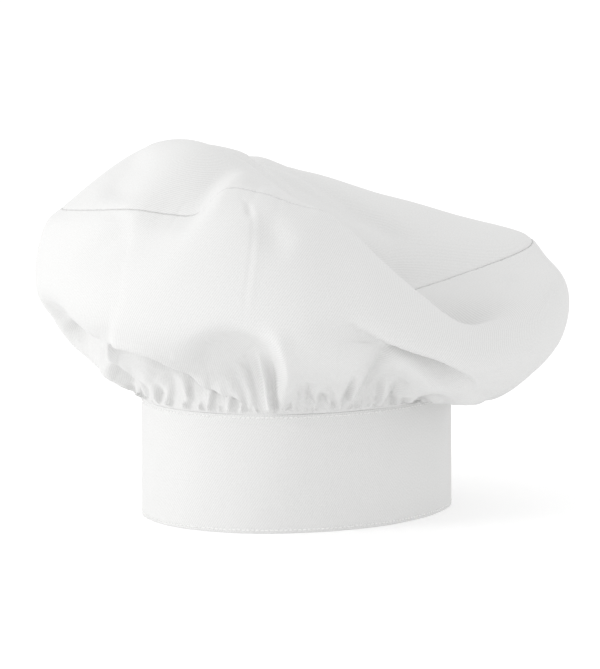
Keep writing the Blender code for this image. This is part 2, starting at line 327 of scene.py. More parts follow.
def lip_fold(place, points, out, under, reach, recess, overhang, roll, ends):
    """A fold that hangs over a hollow: the cloth to the line's left stands out and curls over it,
    and the cloth to its right runs back under it. Returns the push outwards and the slide."""
    across, up, _ = place
    signed, share, left = line_field(across, up, points)
    strength = fade(share, *ends)
    q = signed / roll
    rise = out * np.exp(-np.maximum(signed, 0) / reach)
    drop = under * np.exp(-np.maximum(-signed, 0) / recess)
    side = 0.5 + 0.5 * np.tanh(q)
    push = (rise * side - drop * (1 - side)) * strength
    slide = -overhang * FULL_CURL * q * np.exp(-q * q / 2) * strength
    return push, slide[..., None] * left


# The tables of folds. Places are on the face, and sizes in mm.
GROOVES_AND_RIDGES = [
    # (points, height, width to the left, width to the right, fades at the ends)
    # soft grooves from the peak down the left of the crown, across the seam
    ([(-88, 220), (-98, 208), (-106, 196), (-112, 180)], -4.0, 12, 8, (0.4, 0.3)),
    ([(-104, 184), (-106, 170), (-110, 160), (-122, 150), (-138, 142)], -3.0, 8, 10, (0.2, 0.4)),
    # soft dark fold at the lower left, crisp along its lower side
    ([(-156, 133), (-151, 118), (-143, 105), (-133, 95), (-122, 88.5), (-112, 87)],
     -12, 10, 3.2, (0.4, 0.15)),
    ([(-146, 109), (-136, 98), (-124, 91), (-114, 88)], -8, 8, 2.4, (0.35, 0.1)),
    # pressed creases down the wall
    ([(-101, 176), (-102, 158), (-104, 143), (-105, 125), (-109, 110), (-115, 99)],
     -0.7, 2.6, 7, (0.2, 0.1)),
    ([(-35, 188), (-28, 176), (-26, 167), (-28, 143), (-31, 118), (-29, 104)],
     -0.4, 3.0, 1.4, (0.1, 0.4)),
    ([(-33, 186), (-25, 176), (-23, 166), (-25, 143), (-28, 118), (-26, 104)], 0.4, 2.5, 5, (0.1, 0.4)),
    ([(-29, 184), (-27, 170)], -1.1, 2.4, 2.4, (0.4, 0.5)),
    # soft hollow right of the seam's corner
    ([(-22, 176), (-14, 162), (0, 152)], -3.2, 9, 9, (0.4, 0.5)),
    # bright folds inside the hollow over the band
    ([(-23, 107), (-13, 102), (-6.5, 90.5), (-5.5, 77), (-9, 60), (-10, 54)],
     5.6, 5.5, 5.5, (0.4, 0.02)),
    ([(-27, 90), (-23, 83), (-19, 73), (-16, 54)], 6.5, 3.2, 2.6, (0.35, 0.02)),
    ([(-12, 54), (-13.5, 66), (-14.5, 80), (-20, 92)], -3.5, 2.8, 2.8, (0, 0.5)),
    # ridge from the seam's corner, down the right side of the hollow under the seam
    ([(-38, 194), (-48, 180), (-62, 164), (-75, 152)], 1.0, 6, 5, (0.3, 0.5)),
    # folds in the recess under the big lip
    ([(38, 54), (43, 73), (50, 84), (59, 89.5), (71, 88), (87, 82), (102, 76)],
     -9.0, 6.5, 5.5, (0, 0.3)),
    ([(53, 56), (57, 68), (68, 75)], -6.5, 3.0, 3.0, (0, 0.5)),
    ([(66, 58), (77, 66), (90, 69.5)], -5.5, 2.4, 2.4, (0, 0.4)),
    ([(75, 60), (92, 64.5), (110, 68)], 3, 3.5, 3.5, (0.2, 0.3)),
    # creases on the low side
    ([(152, 144), (148, 126), (142, 114)], 1.0, 1.4, 1.4, (0.3, 0.4)),
    ([(154, 139), (146, 116)], 0.9, 1.3, 1.3, (0.3, 0.4)),
    ([(116, 136), (135, 141)], -1.8, 5, 5, (0.4, 0.4)),
    ([(137, 98), (140, 91)], 0.6, 1.3, 1.3, (0.3, 0.3)),
    # crease beside the front ridge
    ([(19, 178), (34, 166), (40, 158)], -1.0, 1.6, 1.6, (0.3, 0.4)),
]

GATHERS = [
    # pleats that rise from the band: (place at the band, place at the top, height, depth, width)
    (-99, -100, 88, 2.5, 4.0), (-89, -90, 78, 2.0, 2.6), (-82, -83, 74, 3.5, 2.4),
    (-71, -78, 80, 6.5, 3.2), (-61, -64, 78, 5.0, 2.8), (-55.5, -56, 74, 3.5, 1.8),
    (-49, -53, 78, 6.0, 2.6), (-43, -45, 71, 4.5, 2.0), (-36.5, -41, 71, 5.0, 2.2),
    (-28, -43, 82, 5.0, 2.6), (-22, -33, 84, 6.5, 2.8), (-4, -5, 68, 3.0, 1.6),
    (0.5, 2, 75, 5.0, 2.3), (6.5, 5.5, 77, 7.0, 2.8), (12, 10, 66, 3.0, 1.6),
    (16.5, 12, 72, 4.5, 2.0), (22, 20, 68, 3.0, 1.6), (27, 35, 81, 7.5, 3.2),
    (32.5, 41, 72, 4.5, 2.0), (45, 50, 72, 4.0, 2.0), (60, 66, 69, 3.0, 1.8),
]

HOLLOWS = [
    # (centre, half sizes, turn in degrees, height, sharpness of the rim)
    ((-84, 163), (27, 14), 28, -7.0, 2.0),  # under the seam, left of its corner
    ((-37, 84), (24, 20), -10, -15.0, 4.0),  # over the band, left of the middle
    ((40, 96), (25, 13), -20, -9.0, 2.4),  # under the big lip, where it begins
    ((-74, 77), (15, 7), -40, -8.0, 2.0),  # under the long dart
    ((82, 74), (24, 6), -16, 5.5, 2.0),  # mound under the big lip's lower end
    ((-62, 203), (26, 18), 0, 4.0, 2.0),  # full part of the peak
]

DENTS = [
    # (bearing from the low side, radius, size, depth)
    (320, 110, 24, 18),
    (300, 84, 34, 9),
]

LIPS = [
    # big lip over the band at the lower right
    dict(points=[(9, 109), (26, 112), (37, 108), (49, 102), (66, 94.5), (84, 87.5), (98, 81), (105, 75),
                 (108, 71)],
         out=3.0, under=8.5, reach=16, recess=12, overhang=2.6, roll=2.8, ends=(0.45, 0.2)),
    # long dart at the lower left
    dict(points=[(-112, 98.5), (-103, 97.5), (-86.5, 92), (-73.5, 84), (-62, 75.5), (-54, 71), (-39, 66),
                 (-26, 60.5)],
         out=4.0, under=12.0, reach=11, recess=9, overhang=3.6, roll=2.2, ends=(0.06, 0.2)),
]


def hollow(place, centre, size, turn, height, sharpness):
    """A rounded dent, or with a positive height a mound, of an oval outline."""
    across, up, _ = place
    angle = math.radians(turn)
    x, y = across - centre[0], up - centre[1]
    along = (x * math.cos(angle) + y * math.sin(angle)) / size[0]
    over = (y * math.cos(angle) - x * math.sin(angle)) / size[1]
    return height * np.exp(-np.hypot(along, over) ** sharpness)


GATHER_FOOT = 57.0  # height of the band's top on the face


def gather(place, low, high, top, depth, width):
    """A pleat on the face, that rises from low on the band to high at the height top, and widens."""
    across, up, _ = place
    risen = np.clip((up - GATHER_FOOT) / (top - GATHER_FOOT), 0, 1.2)
    away = across - low - (high - low) * risen ** 1.5
    wide = width * (0.7 + 0.6 * risen)
    return depth * pleat_profile(away / wide) * (1 - step((risen - 0.45) / 0.6))


def add_dents(grid):
    """Lowers the crown's top just inside its rim, so that the rim stands in front of a hollow."""
    inside = step((np.arange(len(grid)) - SHOULDER_ROW - 2) / 8)[:, None]
    flat = grid[..., :2] - CROWN_SHIFT[:2]
    for bearing, radius, size, depth in DENTS:
        centre = radius * MM * bearing_vector(bearing + LEAN)[:2]
        far = np.linalg.norm(flat - centre, axis=-1) / (size * MM)
        grid = grid - (inside * depth * MM * np.exp(-far ** 2))[..., None] * UP
    return grid


LIMIT_AT_EDGE = 0.3  # how far in the sewn edge may go, mm
LIMIT_SLOPE = 0.62  # and how much further, per mm up the cloth
LIMIT_REACH = 22  # near the band, mm, broad folds may use only a share of that


def held_back(push, lengths, least=1.0):
    """Limits how far in a point may go, so that the cloth near the band stays outside the band."""
    share = least + (1 - least) * step(lengths / LIMIT_REACH)
    limit = (LIMIT_AT_EDGE + LIMIT_SLOPE * lengths) * share
    return np.where(push < 0, -limit * np.tanh(-push / limit), push)


def edge_distance(grid):
    """How far each point is from the crown's edge at the band, up the cloth, in mm."""
    return way_up(grid) / MM


EDGE_HOLD = 2.6  # the sewn edge stays true; folds grow over this distance, mm
FACE_START = 5  # the folds of the face begin this far forward, mm
FACE_BLEND = 20  # and are full this much further forward
BROAD_SHARE = 0.6  # share of the limit that the broad folds may use at the band
PUSH_LEAN = 0.6  # pushes on the face lean this much towards the viewer
LEAST_RISE = 0.2  # by the band, cloth is pushed out and up this steeply
RISE_START = 5  # from here up the cloth, mm, it may be pushed out ever lower
RISE_BLEND = 50


def add_folds(grid, gathers):
    """Pushes and slides the face's points to form its folds, and adds the gathers' push everywhere."""
    lengths = edge_distance(grid)
    forward = face_place(grid)[2]
    facing = forward > FACE_START
    strength = (step((forward - FACE_START) / FACE_BLEND) * step(lengths / EDGE_HOLD))[facing]
    place = face_place(grid[facing])
    push = np.zeros(len(strength))
    fine = np.zeros(len(strength))
    slide = np.zeros((len(strength), 2))
    for row in GROOVES_AND_RIDGES:
        fine += ripple(place, *row)
    for row in GATHERS:
        fine += gather(place, *row)
    for row in HOLLOWS:
        push += hollow(place, *row)
    for lip in LIPS:
        lip_push, lip_slide = lip_fold(place, **lip)
        push += lip_push
        slide += lip_slide
    total = gathers.copy()
    total[facing] += held_back(push * strength, lengths[facing], BROAD_SHARE) + fine * strength
    out = normals_of(grid)
    out[facing] += PUSH_LEAN * TOWARDS
    freed = step((lengths - RISE_START) / RISE_BLEND)
    lowest = np.where(total > 0, LEAST_RISE - (LEAST_RISE + 1) * freed, -1.0)
    out[..., 2] = np.maximum(out[..., 2], lowest)
    folded = grid + held_back(total, lengths)[..., None] * unit(out) * MM
    slide *= strength[..., None] * MM
    folded[facing] += slide[..., :1] * ACROSS + slide[..., 1:] * UP
    return folded


# ---- gathers and small folds all round


def along_ring(ring):
    """How far round a closed ring each of its points is, and the whole way round, in mm."""
    steps = np.linalg.norm(np.roll(ring, -1, axis=0) - ring, axis=-1) / MM
    return np.cumsum(steps) - steps, steps.sum()


def wrapped(away, girth):
    """Distances round a closed ring, each taken the shorter way."""
    return (away + girth / 2) % girth - girth / 2


def draws(rng, *ranges):
    """A random value from each range, in their order."""
    return [rng.uniform(*ends) for ends in ranges]


def bump(value, centre, width):
    """1 at the centre, falling away on both sides."""
    return np.exp(-((value - centre) / width) ** 2)


# Ranges that each pleat's own values are drawn from, the height over which pleats grow to their
# full depth, both in mm, and the share of long ones
CRIMPS = dict(spacing=(4.0, 7.5), widths=(1.0, 1.6), depths=(2.6, 4.6), reaches=(6, 11), growth=1.5)
PLEATS = dict(spacing=(8, 16), widths=(1.5, 2.6), depths=(5.5, 10.5), reaches=(10, 20), growth=6.0,
              long_share=0.35)
LONG_PLEAT = 2.2  # a long pleat reaches this many times further
PLEAT_SLANTS = (-0.4, 0.4)  # mm along the band for each mm up
PLEAT_OPENS = 12  # a pleat is twice as wide this far up, mm


def pleats(grid, rng, spacing, widths, depths, reaches, growth, long_share=0.0):
    """Narrow valleys that rise from the band at uneven spacings, each with its depth and reach."""
    lengths = edge_distance(grid)
    position, girth = along_ring(grid[0])
    push = np.zeros(grid.shape[:2])
    at = 0.0
    while at < girth:
        width, depth, reach = draws(rng, widths, depths, reaches)
        if rng.random() < long_share:
            reach *= LONG_PLEAT
        slant = rng.uniform(*PLEAT_SLANTS)
        away = wrapped(position - at - slant * lengths, girth)
        wide = width * (1 + lengths / PLEAT_OPENS)
        push += depth * pleat_profile(away / wide) * np.exp(-(lengths / reach) ** 1.5)
        at += rng.uniform(*spacing)
    return push * step(lengths / growth)


def gather_push(grid, seed=7):
    """Fine crimps where the cloth leaves the band, and the larger pleats that they run into."""
    rng = np.random.default_rng(seed)
    return pleats(grid, rng, **CRIMPS) + pleats(grid, rng, **PLEATS)


def edge_roll(grid):
    """The cloth rolls out over the band's top edge, and further out over the tab and at the low side."""
    lengths = edge_distance(grid)
    over_edge = bump(lengths, 3, 3.5)
    over_tab = 4.0 * bump(lengths, 6, 6)
    at_tab = step((BEARINGS - TAB_ROOT + 2) / 9) * step((DIP_START - BEARINGS) / 10)
    over_low_side = 3.2 * bump(lengths, 5, 5)
    at_low_side = bump(BEARINGS - LEAN, -30, 22)
    return (over_edge + over_tab * at_tab + over_low_side * at_low_side) * step(lengths / 2)


def fold_profile(signed, width):
    """A valley with a crest on its left side."""
    crest = 0.55 * bump(signed, 1.7 * width, 1.3 * width)
    return crest - np.exp(-(np.abs(signed) / width) ** 1.6)


SIDE_FOLDS, SIDE_DENTS, TOP_FOLDS = 46, 22, 12  # how many of each


def side_fold_push(grid, seam_row, seed=11):
    """Soft folds and dents on the sides and the back, which run up and slant across the wall."""
    rng = np.random.default_rng(seed)
    lengths = edge_distance(grid[:seam_row + 1])
    along, girth = along_ring(grid[BULGE_ROW])
    push = np.zeros(lengths.shape)
    for _ in range(SIDE_FOLDS):
        start, low, size, turn = draws(rng, (0, girth), (4, 60), (35, 85), (-35, 35))
        width, depth, bow = draws(rng, (4, 10), (2.5, 6.5), (-0.004, 0.004))
        slant = math.radians(turn)
        x = wrapped(along - start, girth)
        y = lengths - low
        far = x * math.sin(slant) + y * math.cos(slant)
        signed = x * math.cos(slant) - y * math.sin(slant) + bow * far ** 2
        width = width * (0.7 + 0.6 * np.clip(far / size, 0, 1))
        push += depth * fold_profile(signed, width) * fade(far / size, 0.3, 0.5) * (far > 0) * (far < size)
    for _ in range(SIDE_DENTS):
        start, high, wide, tall, depth = draws(rng, (0, girth), (30, 95), (12, 30), (9, 20), (-7, 3.5))
        x = wrapped(along - start, girth)
        push += depth * np.exp(-(x / wide) ** 2 - ((lengths - high) / tall) ** 2)
    from_seam = lengths[-1:] - lengths
    return push * step(from_seam / 12)


def seam_pucker_push(grid, seam_row, seed=5):
    """Small puckers along the seam, in both panels."""
    rng = np.random.default_rng(seed)
    seam = grid[seam_row]
    along, girth = along_ring(seam)
    lengths = np.linalg.norm(grid - seam, axis=-1) / MM
    push = np.zeros(grid.shape[:2])
    at = 0.0
    while at < girth:
        width, depth, reach = draws(rng, (1.5, 3.5), (0.1, 0.45), (4, 11))
        away = wrapped(along - at, girth)
        push -= depth * np.exp(-(away / width) ** 2) * np.exp(-lengths / reach)
        at += rng.uniform(5, 12)
    return push - 0.15 * np.exp(-(lengths / 1.6) ** 2)


def top_fold_push(grid, seam_row, seed=23):
    """Soft creases across the top."""
    rng = np.random.default_rng(seed)
    flat = (grid[..., :2] - CROWN_SHIFT[:2]) / MM
    push = np.zeros(grid.shape[:2])
    for _ in range(TOP_FOLDS):
        turn = rng.uniform(0, math.pi)
        centre = rng.uniform(-75, 75, 2)
        size, width, depth = draws(rng, (25, 60), (5, 12), (1.5, 4.0))
        x = (flat - centre) @ np.array([math.cos(turn), math.sin(turn)])
        y = (flat - centre) @ np.array([-math.sin(turn), math.cos(turn)]) + 0.004 * x ** 2
        push += depth * fold_profile(y, width) * np.exp(-(x / size) ** 4)
    rows = np.arange(len(grid))
    inside = step((rows - seam_row) / 8) * step((len(grid) - 1 - rows) / 12)
    return push * inside[:, None]


# ---- the cloth simulation

WALL_CUT = (0.911, 0.155)  # the wall's flat strip, gathered into the band, with its seam allowances
SETTLE_FRAMES = 24
SETTLE_STRIDE = 2  # one point in so many, each way, is simulated
SETTLE_CLOTH = dict(vertex_group_mass="pin", pin_stiffness=0.2, quality=8, mass=0.0004, air_damping=4.0,
                    tension_stiffness=8, compression_stiffness=8, shear_stiffness=2,
                    bending_stiffness=0.1)


def flat_strip(part):
    """The shape that the gathered cloth would rest in: a straight tube as wide as its cut."""
    ahead = np.linalg.norm(np.roll(part, -1, 1) - part, axis=-1)
    girths = ahead.sum(1)
    share = np.cumsum(ahead[-1]) / girths[-1]
    up = np.linspace(0, 1, len(part))
    wanted = np.maximum(girths, WALL_CUT[0] + (girths[-1] - WALL_CUT[0]) * step(up))
    radius = (wanted / (2 * math.pi))[:, None]
    angle = 2 * math.pi * share[None, :] + math.radians(BEARINGS[0])
    return np.stack([radius * np.cos(angle), radius * np.sin(angle), way_up(part)], -1)


def pin_weight(row, count):
    """How firmly a row is held: fast at both ends, and more loosely near the band."""
    if row < 1 or count - 1 - row < 2:
        return 1.0
    return 0.02 + 0.5 * (row / count) ** 3


def settle_gathers(grid, top_row):
    """Lets the gathered cloth up to top_row buckle by simulation. Returns how far its points move."""
    rows = np.arange(0, top_row + 1, SETTLE_STRIDE)
    part = grid[rows][:, ::SETTLE_STRIDE]
    count, columns = part.shape[:2]
    thing = mesh_object("gather_settling", part.reshape(-1, 3), grid_faces(count, columns, True))
    thing.shape_key_add(name="Basis")
    rest = thing.shape_key_add(name="rest")
    rest.data.foreach_set("co", flat_strip(part).astype(np.float32).ravel())
    pins = thing.vertex_groups.new(name="pin")
    for row in range(count):
        pins.add(range(row * columns, (row + 1) * columns), pin_weight(row, count), "REPLACE")
    cloth = thing.modifiers.new("settle", "CLOTH")
    cloth.settings.rest_shape_key = rest
    for name, value in SETTLE_CLOTH.items():
        setattr(cloth.settings, name, value)
    cloth.settings.effector_weights.gravity = 0
    cloth.point_cache.frame_start = 1
    cloth.point_cache.frame_end = SETTLE_FRAMES
    for frame_number in range(1, SETTLE_FRAMES + 1):
        bpy.context.scene.frame_set(frame_number)
    evaluated = thing.evaluated_get(bpy.context.evaluated_depsgraph_get())
    settled = np.zeros(count * columns * 3, np.float32)
    evaluated.data.vertices.foreach_get("co", settled)
    delta = settled.reshape(count, columns, 3) - part
    bpy.data.objects.remove(thing, do_unlink=True)
    bpy.context.scene.frame_set(1)
    return spread(delta, rows, SETTLE_STRIDE, grid.shape)


def spread(delta, rows, stride, shape):
    """Reads a coarse grid of displacements on the fine grid; 0 above its last row."""
    fine = np.zeros(shape)
    wide = np.zeros((len(rows), shape[1], 3))
    for c in range(stride):
        t = c / stride
        wide[:, c::stride] = delta * (1 - t) + np.roll(delta, -1, 1) * t
    for r in range(rows[-1] + 1):
        i = min(r // stride, len(rows) - 2)
        t = (r - rows[i]) / stride
        fine[r] = wide[i] * (1 - t) + wide[i + 1] * t
    return fine


# ---- meshes


def mesh_object(name, vertices, faces, uv=None, girth=0.0):
    """An object of a mesh. With a girth, its faces are the quads of a closed strip, whose coordinates
    run on over the strip's join."""
    mesh = bpy.data.meshes.new(name)
    mesh.from_pydata(np.asarray(vertices).tolist(), [], faces)
    if uv is not None:
        layer = mesh.uv_layers.new(name="cloth")
        corner = np.zeros(len(mesh.loops), np.int32)
        mesh.loops.foreach_get("vertex_index", corner)
        places = np.asarray(uv, np.float32)[corner]
        if girth:
            quads = places.reshape(-1, 4, 2)
            join = np.ptp(quads[..., 0], axis=1) > girth / 2
            quads[join, :, 0] += girth * (quads[join, :, 0] < girth / 2)
        layer.data.foreach_set("uv", places.ravel())
    mesh.shade_smooth()
    thing = bpy.data.objects.new(name, mesh)
    bpy.context.scene.collection.objects.link(thing)
    return thing


def grid_faces(rows, columns, closed):
    """The quads of a grid of vertices."""
    faces = []
    for low in range(0, (rows - 1) * columns, columns):
        high = low + columns
        for c in range(columns if closed else columns - 1):
            right = (c + 1) % columns
            faces.append((low + c, low + right, high + right, high + c))
    return faces


def thicken(thing, thickness):
    """Gives a cloth's outer face its thickness, inwards."""
    solidify = thing.modifiers.new("cloth", "SOLIDIFY")
    solidify.thickness = thickness
    solidify.offset = -1
    solidify.use_even_offset = False


def cloth_uv(grid):
    """Distances along and up a grid, in metres, so that the weave keeps its size."""
    up = way_up(grid)
    widest = grid[np.argmax(np.linalg.norm(np.diff(grid, axis=1), axis=-1).sum(1))]
    return np.stack([np.broadcast_to(way_along(widest), up.shape), up], -1).reshape(-1, 2)


def disc_uv(rows):
    """Flat coordinates of rings that close to a point: the way to that point, at each bearing."""
    steps = np.linalg.norm(np.diff(rows, axis=0), axis=-1)
    reach = np.cumsum(steps[::-1], axis=0)[::-1]
    angle = np.radians(BEARINGS)
    uv = reach[..., None] * np.stack([np.cos(angle), np.sin(angle)], -1)
    return np.concatenate([uv.reshape(-1, 2), np.zeros((1, 2))])


def tube_mesh(name, paths, out, radii, sides=6, closed=False):
    """Tubes along paths (tube, point, xyz), each with an outward direction at every point."""
    count, length = paths.shape[:2]
    if closed:
        along = unit(np.roll(paths, -1, 1) - np.roll(paths, 1, 1))
    else:
        along = unit(np.gradient(paths, axis=1))
    aside = unit(np.cross(along, out))
    out = unit(np.cross(aside, along))
    angle = np.linspace(0, 2 * math.pi, sides, endpoint=False)
    radii = np.broadcast_to(radii, (length,))[None, :, None, None]
    ring = np.cos(angle)[:, None] * out[:, :, None] + np.sin(angle)[:, None] * aside[:, :, None]
    points = (paths[:, :, None] + radii * ring).reshape(-1, 3)
    faces = []
    for tube in range(count):
        base = tube * length * sides
        for p in range(length if closed else length - 1):
            a, b = base + p * sides, base + (p + 1) % length * sides
            faces += [(a + k, a + (k + 1) % sides, b + (k + 1) % sides, b + k) for k in range(sides)]
        if not closed:
            last = base + (length - 1) * sides
            faces += [tuple(range(base + sides - 1, base - 1, -1)), tuple(range(last, last + sides))]
    distance = np.linspace(0, length * MM, length)[None, :, None]
    shape = (count, length, sides)
    uv = np.stack([np.broadcast_to(distance, shape), np.broadcast_to(angle * MM, shape)], -1)
    return mesh_object(name, points, faces, uv.reshape(-1, 2))


# ---- materials


def new_material(name, colour, roughness, sheen=0.0):
    """A plain material and its shader."""
    material = bpy.data.materials.new(name)
    material.use_nodes = True
    shader = material.node_tree.nodes["Principled BSDF"]
    shader.inputs["Base Color"].default_value = (*colour, 1)
    shader.inputs["Roughness"].default_value = roughness
    shader.inputs["Sheen Weight"].default_value = sheen
    shader.inputs["Specular IOR Level"].default_value = 0.25
    return material, shader


def node(tree, kind, **inputs):
    """A new node with some of its inputs set."""
    made = tree.nodes.new(kind)
    for name, value in inputs.items():
        made.inputs[name].default_value = value
    return made


def blended(tree, first, second, share):
    """Two patterns, mixed by a share of the second."""
    mix = node(tree, "ShaderNodeMix", Factor=share)
    mix.data_type = "FLOAT"
    tree.links.new(first, mix.inputs["A"])
    tree.links.new(second, mix.inputs["B"])
    return mix.outputs["Result"]


def cloth_coordinates(tree, degrees=0.0):
    """The cloth's own coordinates in metres, turned in its plane."""
    source = tree.nodes.new("ShaderNodeUVMap")
    source.uv_map = "cloth"
    turn = tree.nodes.new("ShaderNodeMapping")
    turn.inputs["Rotation"].default_value[2] = math.radians(degrees)
    tree.links.new(source.outputs["UV"], turn.inputs["Vector"])
    return turn.outputs["Vector"]


WAVES_PER_UNIT = math.pi / 10  # a wave texture's scale for one band per metre


def line_waves(tree, pitch, degrees):
    """Parallel lines of a given pitch across the cloth."""
    waves = node(tree, "ShaderNodeTexWave", Scale=WAVES_PER_UNIT / pitch, Distortion=0.0, Detail=0.0)
    tree.links.new(cloth_coordinates(tree, degrees), waves.inputs["Vector"])
    return waves.outputs["Fac"]


def noise(tree, scale, detail=3.0):
    """Uneven grain, scale times finer than a metre."""
    grain = node(tree, "ShaderNodeTexNoise", Scale=scale, Detail=detail)
    tree.links.new(cloth_coordinates(tree), grain.inputs["Vector"])
    return grain.outputs["Fac"]


def twill(tree):
    """Steep diagonal twill lines over a fine yarn grain."""
    return blended(tree, line_waves(tree, 1.25 * MM, 33), noise(tree, 1000.0, 1.0), 0.6)


def plain_weave(tree, pitch):
    """Two sets of yarns at right angles."""
    yarns = blended(tree, line_waves(tree, pitch, 0), line_waves(tree, pitch, 90), 0.5)
    return blended(tree, yarns, noise(tree, 1200.0), 0.3)


def felt(tree):
    """Pressed fibres of a nonwoven stiffener."""
    return noise(tree, 900.0, 6.0)


def twist(tree):
    """The turns of a thread."""
    return line_waves(tree, 0.35 * MM, 25)


def cloth_material(name, colour, make_pattern, depth, *pitch, roughness=0.85, sheen=0.1,
                   shades=(0.95, 1.0), relief=1.0):
    """A material whose pattern raises it by depth, and takes its colour between two shades of it."""
    material, shader = new_material(name, colour, roughness, sheen)
    tree = material.node_tree
    pattern = make_pattern(tree, *pitch)
    tint = node(tree, "ShaderNodeMix")
    tint.data_type = "RGBA"
    for socket, shade in zip((6, 7), shades):
        tint.inputs[socket].default_value = (*[min(c * shade, 1) for c in colour], 1)
    tree.links.new(pattern, tint.inputs["Factor"])
    tree.links.new(tint.outputs[2], shader.inputs["Base Color"])
    raised = node(tree, "ShaderNodeBump", Strength=relief, Distance=depth)
    tree.links.new(pattern, raised.inputs["Height"])
    tree.links.new(raised.outputs["Normal"], shader.inputs["Normal"])
    return material


TWILL = cloth_material("white_twill", (0.70, 0.70, 0.695), twill, 0.14 * MM, shades=(0.88, 1.12),
                       relief=0.7)
LINING = cloth_material("white_lining", (0.77, 0.77, 0.76), plain_weave, 0.08 * MM, 0.5 * MM)
FELT = cloth_material("white_stiffener", (0.78, 0.78, 0.77), felt, 0.2 * MM, roughness=0.95, sheen=0.0,
                      shades=(0.9, 1.0))
HOOK_TAPE = cloth_material("white_hook_tape", (0.72, 0.72, 0.71), plain_weave, 0.12 * MM, 0.7 * MM,
                           roughness=0.5)
LOOP_TAPE = cloth_material("white_loop_tape", (0.74, 0.74, 0.73), plain_weave, 0.12 * MM, 0.7 * MM,
                           roughness=0.8)
LABEL = cloth_material("white_label", (0.8, 0.8, 0.79), plain_weave, 0.03 * MM, 0.3 * MM, roughness=0.45)
THREAD = cloth_material("white_thread", (0.93, 0.93, 0.92), twist, 0.05 * MM, roughness=0.55,
                        shades=(0.9, 1.0))


def dress(thing, material, body, cad_node=None):
    """Gives a piece its material and its body if it has one, and hides the CAD node it replaces."""
    thing.data.materials.append(material)
    if body:
        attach(thing, body)
    if cad_node:
        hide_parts(cad_node)


# ---- the crown

CROWN_CLOTH = 0.5 * MM
ALLOWANCE = 5 * MM
ALLOWANCE_ROWS = 4
SEAM_GAP = 0.35 * MM
SEAM_ROUND = 0.8 * MM
SEAM_TURNS = (35, 65, 90)  # how far the cloth has turned in at each row of its folded edge
SEAM_THREAD_DEPTH = 1.1 * MM
SEAM_THREAD = 0.3 * MM
ON_FACE = 0.35  # share of the top's small folds that the face keeps
TUCK_CLEARANCE = 0.1 * MM  # between the band's outer cloth and the crown's tucked-in edge


def turned_in(grid, seam_row, side):
    """The rounded edge and turned-in allowance of the wall (side -1) or the top (side 1)."""
    normal = normals_of(grid)[seam_row]
    over = unit(grid[seam_row + 1] - grid[seam_row - 1])
    rows = []
    for angle in np.radians(SEAM_TURNS):
        out = grid[seam_row] + side * over * (SEAM_GAP / 2 + SEAM_ROUND * (1 - math.sin(angle))) \
            - normal * SEAM_ROUND * (1 - math.cos(angle))
        rows.append(out)
    folded = rows[-1]
    for i in range(1, ALLOWANCE_ROWS):
        rows.append(folded - normal * ALLOWANCE * i / (ALLOWANCE_ROWS - 1))
    return rows


def crown_push(grid, seam_row):
    """How far the small folds, gathers and puckers push each point out, in mm; fewer on the face."""
    away = 1 - step((grid @ TOWARDS / MM + 25) / 50)
    push = gather_push(grid) + seam_pucker_push(grid, seam_row) + edge_roll(grid)
    push[:seam_row + 1] += side_fold_push(grid, seam_row) * away[:seam_row + 1]
    return push + top_fold_push(grid, seam_row) * (ON_FACE + (1 - ON_FACE) * away)


def make_wall(grid, smooth, seam_row):
    """The side wall: its edge tucked into the band, the wall, and its turned-in edge at the seam."""
    inset = BAND_CLOTH + TUCK_CLEARANCE
    tuck = [oval(BEARINGS, inset + dip(BEARINGS), height)
            for height in (TUCK_BOTTOM, BAND_HEIGHT - 1 * MM, BAND_HEIGHT + 0.1 * MM)]
    wall = np.array(tuck + list(grid[:seam_row]) + turned_in(grid, seam_row, -1))
    uv = cloth_uv(np.array(tuck + list(smooth[:seam_row]) + turned_in(smooth, seam_row, -1)))
    side = mesh_object("crown_side_cloth", wall.reshape(-1, 3), grid_faces(len(wall), COLUMNS, True), uv,
                       girth=uv[:, 0].max() * COLUMNS / (COLUMNS - 1))
    thicken(side, CROWN_CLOTH)
    dress(side, TWILL, "hat", "crown_side")
    return side


def make_top(grid, smooth, seam_row):
    """The round top panel, with its own turned-in edge, closed at its centre."""
    top = np.array(turned_in(grid, seam_row, 1)[::-1] + list(grid[seam_row + 1:-1]))
    vertices = np.concatenate([top.reshape(-1, 3), grid[-1][:1]])
    faces = grid_faces(len(top), COLUMNS, True)
    last = (len(top) - 1) * COLUMNS
    faces += [(last + c, last + (c + 1) % COLUMNS, len(vertices) - 1) for c in range(COLUMNS)]
    flat_top = np.array(turned_in(smooth, seam_row, 1)[::-1] + list(smooth[seam_row + 1:]))
    panel = mesh_object("crown_top_cloth", vertices, faces, disc_uv(flat_top))
    thicken(panel, CROWN_CLOTH)
    dress(panel, TWILL, "hat", "crown_top")


def make_crown():
    """The side wall and the top panel, cut from one folded grid, and the thread of their seam."""
    smooth, seam_row = crown_rows()
    grid = add_dents(smooth)
    grid = add_folds(grid, crown_push(grid, seam_row))
    grid = grid + settle_gathers(grid, BULGE_ROW)
    side = make_wall(grid, smooth, seam_row)
    make_top(grid, smooth, seam_row)
    normal = normals_of(grid)[seam_row]
    thread = grid[seam_row] - normal * SEAM_THREAD_DEPTH
    seam = tube_mesh("crown_seam_thread", thread[None], normal[None], SEAM_THREAD, closed=True)
    dress(seam, THREAD, "hat", "crown_seam_stitching")


# ---- band, tab, tapes and threads

